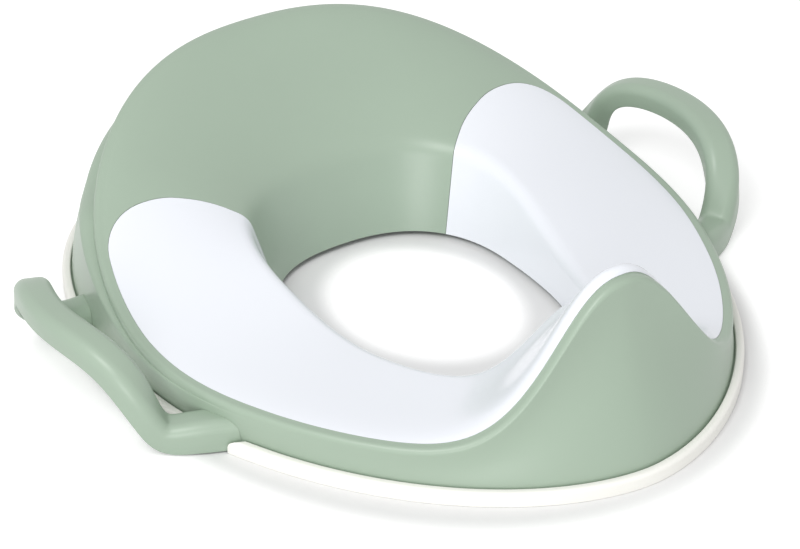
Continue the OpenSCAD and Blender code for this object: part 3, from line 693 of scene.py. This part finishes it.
# Soft rim: a channel round the flange's edge in four lengths, each ending parallel to a handle's foot
rimForm = dict(high=7.2, thick=2.3, lip=1.7, gap=0.2, endGap=0.6, endRound=4.5, topRound=2.0, lowRound=0.6,
               tipRound=0.8, fewSteps=5, manySteps=9, soleIn=1, soleAt=(4.5, 2.5), innerAt=(1, 0.5, 0.2),
               innerCorner=0.2, wallShort=0.5, wallSteps=9, footSteps=8, crowd=0.155, endSkin=0.4, sharp=50)
gripLow, gripTop = baseForm["flangeZ"] - rimForm["gap"], baseForm["flangeTop"] + rimForm["gap"]  # round the flange


def rimOutline():  # [distance inside the base's edge, height], outer line then inner line back
    r, b = rimForm, baseForm
    tip, sole, thick = b["flangeEdge"] + r["lip"], b["wallStep"] + r["soleIn"], r["thick"]

    def corner(d, z, radius, start, end, count):
        a = np.radians(np.linspace(start, end, count))
        return np.stack([d - radius * np.cos(a), z + radius * np.sin(a)], -1)

    outer = [[[d, 0] for d in (sole, *r["soleAt"])],
             corner(r["lowRound"], r["lowRound"], r["lowRound"], -90, 0, r["fewSteps"]),
             corner(r["topRound"], r["high"] - r["topRound"], r["topRound"], 0, 90, r["manySteps"]),
             corner(tip - r["tipRound"], r["high"] - r["tipRound"], r["tipRound"], 90, 180, r["fewSteps"])]
    inner = [[tip, gripTop], *[[thick + d, gripTop] for d in r["innerAt"]], [thick, gripTop - r["innerCorner"]]]
    wall = pair(thick, np.linspace(gripTop - r["wallShort"], gripLow + r["wallShort"], r["wallSteps"]))
    foot = pair(np.linspace(thick, sole, r["footSteps"]), gripLow)
    return np.concatenate([*outer, inner, wall, foot])


footRounds = 8  # enough to settle the angle


# Angle where a line inside the base's edge meets the side of a foot, by stepping back and forth between the two
def footAngle(inside, screwY, slope, side):
    aside = (handleForm["width"] / 2 + rimForm["endGap"]) * math.sqrt(1 + slope * slope)
    start = screwY - slope * screwX + side * aside
    phi = np.full(inside.shape, 90.0)
    for step in range(footRounds):
        x = (baseRadius(phi) - inside) * np.sin(np.radians(phi))
        phi = np.degrees(np.arctan2(x, -start - slope * x))
    return phi


# Length of the rim: its outline carried round the base's edge between two angles for each line. At both ends the height
# falls by a quarter round, and the inner half is squeezed below it.
def rimParts(begin, end, count):
    r, outline = rimForm, rimOutline()
    columns = len(outline)
    phi = begin + (end - begin) * crowded(count, r["crowd"])
    radius = baseRadius(folded(phi)) - outline[:, 0]
    fromEnd = np.minimum(phi - begin, end - phi) * np.pi / 180 * radius
    inside = np.clip(1 - fromEnd / r["endRound"], 0, 1)
    most = r["high"] - r["endRound"] * (1 - np.sqrt(1 - inside ** 2))
    share = np.minimum(1, (most - r["endSkin"] - gripLow) / (gripTop - gripLow))
    squeezed = gripLow + (outline[:, 1] - gripLow) * share
    height = np.where(np.arange(columns) < columns // 2, np.minimum(outline[:, 1], most), squeezed)
    return [(aroundAxis(phi, pair(radius, height)), channelFaces(count, columns))]


inside = rimOutline()[:, 0]
frontEnd, frontStart = [footAngle(inside, -handleForm["front"], footSlope, side) for side in (-1, 1)]
rearStart, rearEnd = [footAngle(inside, handleForm["rear"], 0, side) for side in (-1, 1)]
rims = (  # name, CAD node, first and last angle, steps
    ("frontRim", "front_rim", -frontEnd, frontEnd, 260),
    ("rearRim", "rear_rim", rearEnd, 360 - rearEnd, 240),
    ("rightRim", "right_rim", frontStart, rearStart, 110),
    ("leftRim", "left_rim", -rearStart, -frontStart, 110),
)
for name, node, begin, end, steps in rims:
    makePiece(name, rimParts(begin, end, steps), softWhite, [node], sharp=rimForm["sharp"])

# The screws stay the CAD's own, with a better material
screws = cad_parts["handle_screws"]
screws.data.materials.clear()
screws.data.materials.append(steel)
print("pieces done")

# Camera at the photograph's angle, on an 800 by 549 frame
cameraView = dict(azimuth=-35.007, elevation=30.881, distance=1250, focal=2757.58, target=(-36.97, -44.89, 50),
                  frameWide=800, sensor=36)


def addCamera():
    v = cameraView
    a, e = math.radians(v["azimuth"]), math.radians(v["elevation"])
    toEye = Vector((math.sin(a) * math.cos(e), -math.cos(a) * math.cos(e), math.sin(e)))
    data = bpy.data.cameras.new("photoCamera")
    data.sensor_fit = "HORIZONTAL"
    data.sensor_width = v["sensor"]
    data.lens = v["focal"] * v["sensor"] / v["frameWide"]
    camera = bpy.data.objects.new("photoCamera", data)
    camera.location = (Vector(v["target"]) + toEye * v["distance"]) * mm
    camera.rotation_euler = (-toEye).to_track_quat("-Z", "Y").to_euler()
    bpy.context.scene.collection.objects.link(camera)
    bpy.context.scene.camera = camera


addCamera()


def seenRays(tree):  # 1 for camera and glossy rays, 0 for the rest
    path = addNode(tree, "ShaderNodeLightPath")
    return addNode(tree, "ShaderNodeMath", {"operation": "MAXIMUM"},
                   links={0: path.outputs["Is Camera Ray"], 1: path.outputs["Is Glossy Ray"]}).outputs["Value"]


# Pale floor, its side in metres: diffuse white that keeps the shadow, with a little light of its own, for camera and
# glossy rays only, that is nothing near the base's edge and grows outwards from it and in the middle of the opening
floorFinish = dict(colour="#E6E6E6", glow=0.4, size=6.0,
                   outer=dict(middle=(-4, -4), half=(150, 185), dark=0.98, light=1.08),
                   inner=dict(middle=(5, -5), half=(48, 60), dark=1.06, light=0.76))


def ovalGlow(tree, place, oval):  # 0 to the full glow between two scaled distances from an oval's middle
    (x, y), (halfX, halfY) = oval["middle"], oval["half"]
    scaled = addNode(tree, "ShaderNodeVectorMath", {"operation": "MULTIPLY_ADD"},
                     {1: (perMetre / halfX, perMetre / halfY, 0), 2: (-x / halfX, -y / halfY, 0)}, {0: place})
    away = addNode(tree, "ShaderNodeVectorMath", {"operation": "LENGTH"}, links={0: scaled.outputs["Vector"]})
    return addNode(tree, "ShaderNodeMapRange", {"interpolation_type": "SMOOTHSTEP"},
                   {"From Min": oval["dark"], "From Max": oval["light"], "To Max": floorFinish["glow"]},
                   {"Value": away.outputs["Value"]}).outputs["Result"]


def addFloor():
    f = floorFinish
    material, tree = newMaterial("white paper sweep")
    place = addNode(tree, "ShaderNodeTexCoord").outputs["Object"]
    out, middle = ovalGlow(tree, place, f["outer"]), ovalGlow(tree, place, f["inner"])
    grown = addNode(tree, "ShaderNodeMath", {"operation": "ADD"}, links={0: out, 1: middle})
    glow = addNode(tree, "ShaderNodeMath", {"operation": "MULTIPLY"},
                   links={0: grown.outputs["Value"], 1: seenRays(tree)})
    diffuse = addNode(tree, "ShaderNodeBsdfDiffuse", values={"Color": linear(f["colour"])})
    light = addNode(tree, "ShaderNodeEmission", links={"Strength": glow.outputs["Value"]})
    both = addNode(tree, "ShaderNodeAddShader", links={0: diffuse.outputs["BSDF"], 1: light.outputs["Emission"]})
    addNode(tree, "ShaderNodeOutputMaterial", links={"Surface": both.outputs["Shader"]})
    mesh = bpy.data.meshes.new("floor")
    s = f["size"]
    mesh.from_pydata([(-s, -s, 0), (s, -s, 0), (s, s, 0), (-s, s, 0)], [], [(0, 1, 2, 3)])
    mesh.materials.append(material)
    floor = bpy.data.objects.new("floor", mesh)
    bpy.context.scene.collection.objects.link(floor)


addFloor()

# Soft studio light, in metres: an even white tent, a key high on the left and a low fill from the front left
lamps = dict(
    key=dict(place=(-1.2, -0.6, 1.7), aim=(0, 0, 0.04), size=(0.9, 0.9), power=18.5),
    fill=dict(place=(-1.4, -1.6, 0.35), aim=(0, 0, 0.04), size=(0.9, 0.9), power=13),
)
worldLight = dict(colour="#FFFFFF", level=0.66, seenLevel=1.0)


def addLamps():
    for name, lamp in lamps.items():
        data = bpy.data.lights.new(name, "AREA")
        data.shape = "RECTANGLE"
        data.size, data.size_y = lamp["size"]
        data.energy = lamp["power"]
        light = bpy.data.objects.new(name, data)
        light.location = lamp["place"]
        light.rotation_euler = (Vector(lamp["aim"]) - Vector(lamp["place"])).to_track_quat("-Z", "Y").to_euler()
        bpy.context.scene.collection.objects.link(light)


def addWorld():
    world = bpy.data.worlds.new("studio")
    world.use_nodes = True
    tree = world.node_tree
    tree.nodes.clear()
    colour = linear(worldLight["colour"])
    plain = addNode(tree, "ShaderNodeBackground", values={"Color": colour, "Strength": worldLight["level"]})
    seen = addNode(tree, "ShaderNodeBackground", values={"Color": colour, "Strength": worldLight["seenLevel"]})
    mixed = addNode(tree, "ShaderNodeMixShader",
                    links={0: seenRays(tree), 1: plain.outputs["Background"], 2: seen.outputs["Background"]})
    addNode(tree, "ShaderNodeOutputWorld", links={"Surface": mixed.outputs["Shader"]})
    bpy.context.scene.world = world


addLamps()
addWorld()
bpy.context.scene.view_settings.view_transform = "Standard"
print("stage done")
